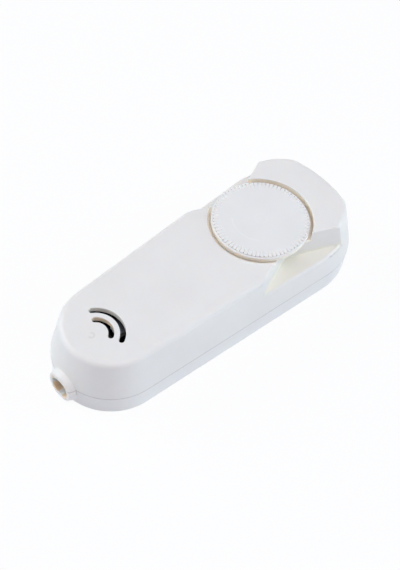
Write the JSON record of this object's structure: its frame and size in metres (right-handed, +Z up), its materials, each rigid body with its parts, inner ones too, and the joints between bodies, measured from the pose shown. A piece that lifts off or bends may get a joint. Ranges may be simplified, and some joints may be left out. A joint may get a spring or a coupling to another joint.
{
  "type": "inline cord dimmer",
  "caption": "Inline cord dimmer: a tapered white plastic housing with a cord collar at each end, a knurled thumb dial in a round well between two thumb scoops, and curved vent slots.",
  "frame": {"origin": "under the middle of the length, on the plane that the underside lies on", "axes": "+X along the length towards the dial end, +Y across, +Z up out of the dial face"},
  "size_m": [0.1012, 0.04, 0.0204],
  "materials": {
    "cover_plastic": "fine satin",
    "base_plastic": "fine satin",
    "dial_plastic": "fine satin",
    "screw_steel": "zinc plated",
    "board_laminate": "paper laminate",
    "wafer_laminate": "paper laminate",
    "track_carbon": "dull",
    "pot_steel": "zinc plated",
    "spindle_plastic": "satin",
    "wiper_brass": "bright",
    "tinned_metal": "tinned",
    "terminal_plastic": "satin",
    "terminal_brass": "satin",
    "clamp_plastic": "satin",
    "black_aluminium": "black anodised",
    "black_epoxy": "dull",
    "ferrite": "dull",
    "enamelled_copper": "enamelled",
    "capacitor_yellow": "gloss",
    "capacitor_red": "gloss",
    "resistor_beige": "lacquered",
    "diac_glass": "gloss",
    "fuse_glass": "clear",
    "fuse_nickel": "nickel plated"
  },
  "bodies": {
    "housing": {"upper_cover": "cover_plastic", "base_shell": "base_plastic", "housing_screws": "screw_steel", "circuit_board": "board_laminate", "pot_base": "wafer_laminate", "pot_track": "track_carbon", "pot_case": "pot_steel", "pot_terminals": "tinned_metal", "terminal_block_supply": "terminal_plastic", "terminal_block_lamp": "terminal_plastic", "terminal_cages": "terminal_brass", "terminal_screws": "screw_steel", "cord_clamp_supply": "clamp_plastic", "cord_clamp_lamp": "clamp_plastic", "clamp_screws": "screw_steel", "heat_sink": "black_aluminium", "heat_sink_screw": "screw_steel", "heat_sink_nut": "screw_steel", "triac_tab": "tinned_metal", "triac_body": "black_epoxy", "triac_leads": "tinned_metal", "choke_core": "ferrite", "choke_winding": "enamelled_copper", "suppression_capacitor": "capacitor_yellow", "timing_capacitor": "capacitor_red", "capacitor_pins": "tinned_metal", "resistors": "resistor_beige", "resistor_leads": "tinned_metal", "diac": "diac_glass", "diac_leads": "tinned_metal", "fuse_tube": "fuse_glass", "fuse_caps": "fuse_nickel", "fuse_clips": "tinned_metal", "fuse_wire": "tinned_metal"},
    "dial": {"dial": "dial_plastic", "pot_spindle": "spindle_plastic", "pot_wiper": "wiper_brass"}
  },
  "joints": [
    {"name": "dial_turn", "type": "hinge", "parent": "housing", "child": "dial", "pos_m": [0.0212, 0, 0.018], "axis": [0, 0, 1], "range_deg": [-280, 0]}
  ]
}
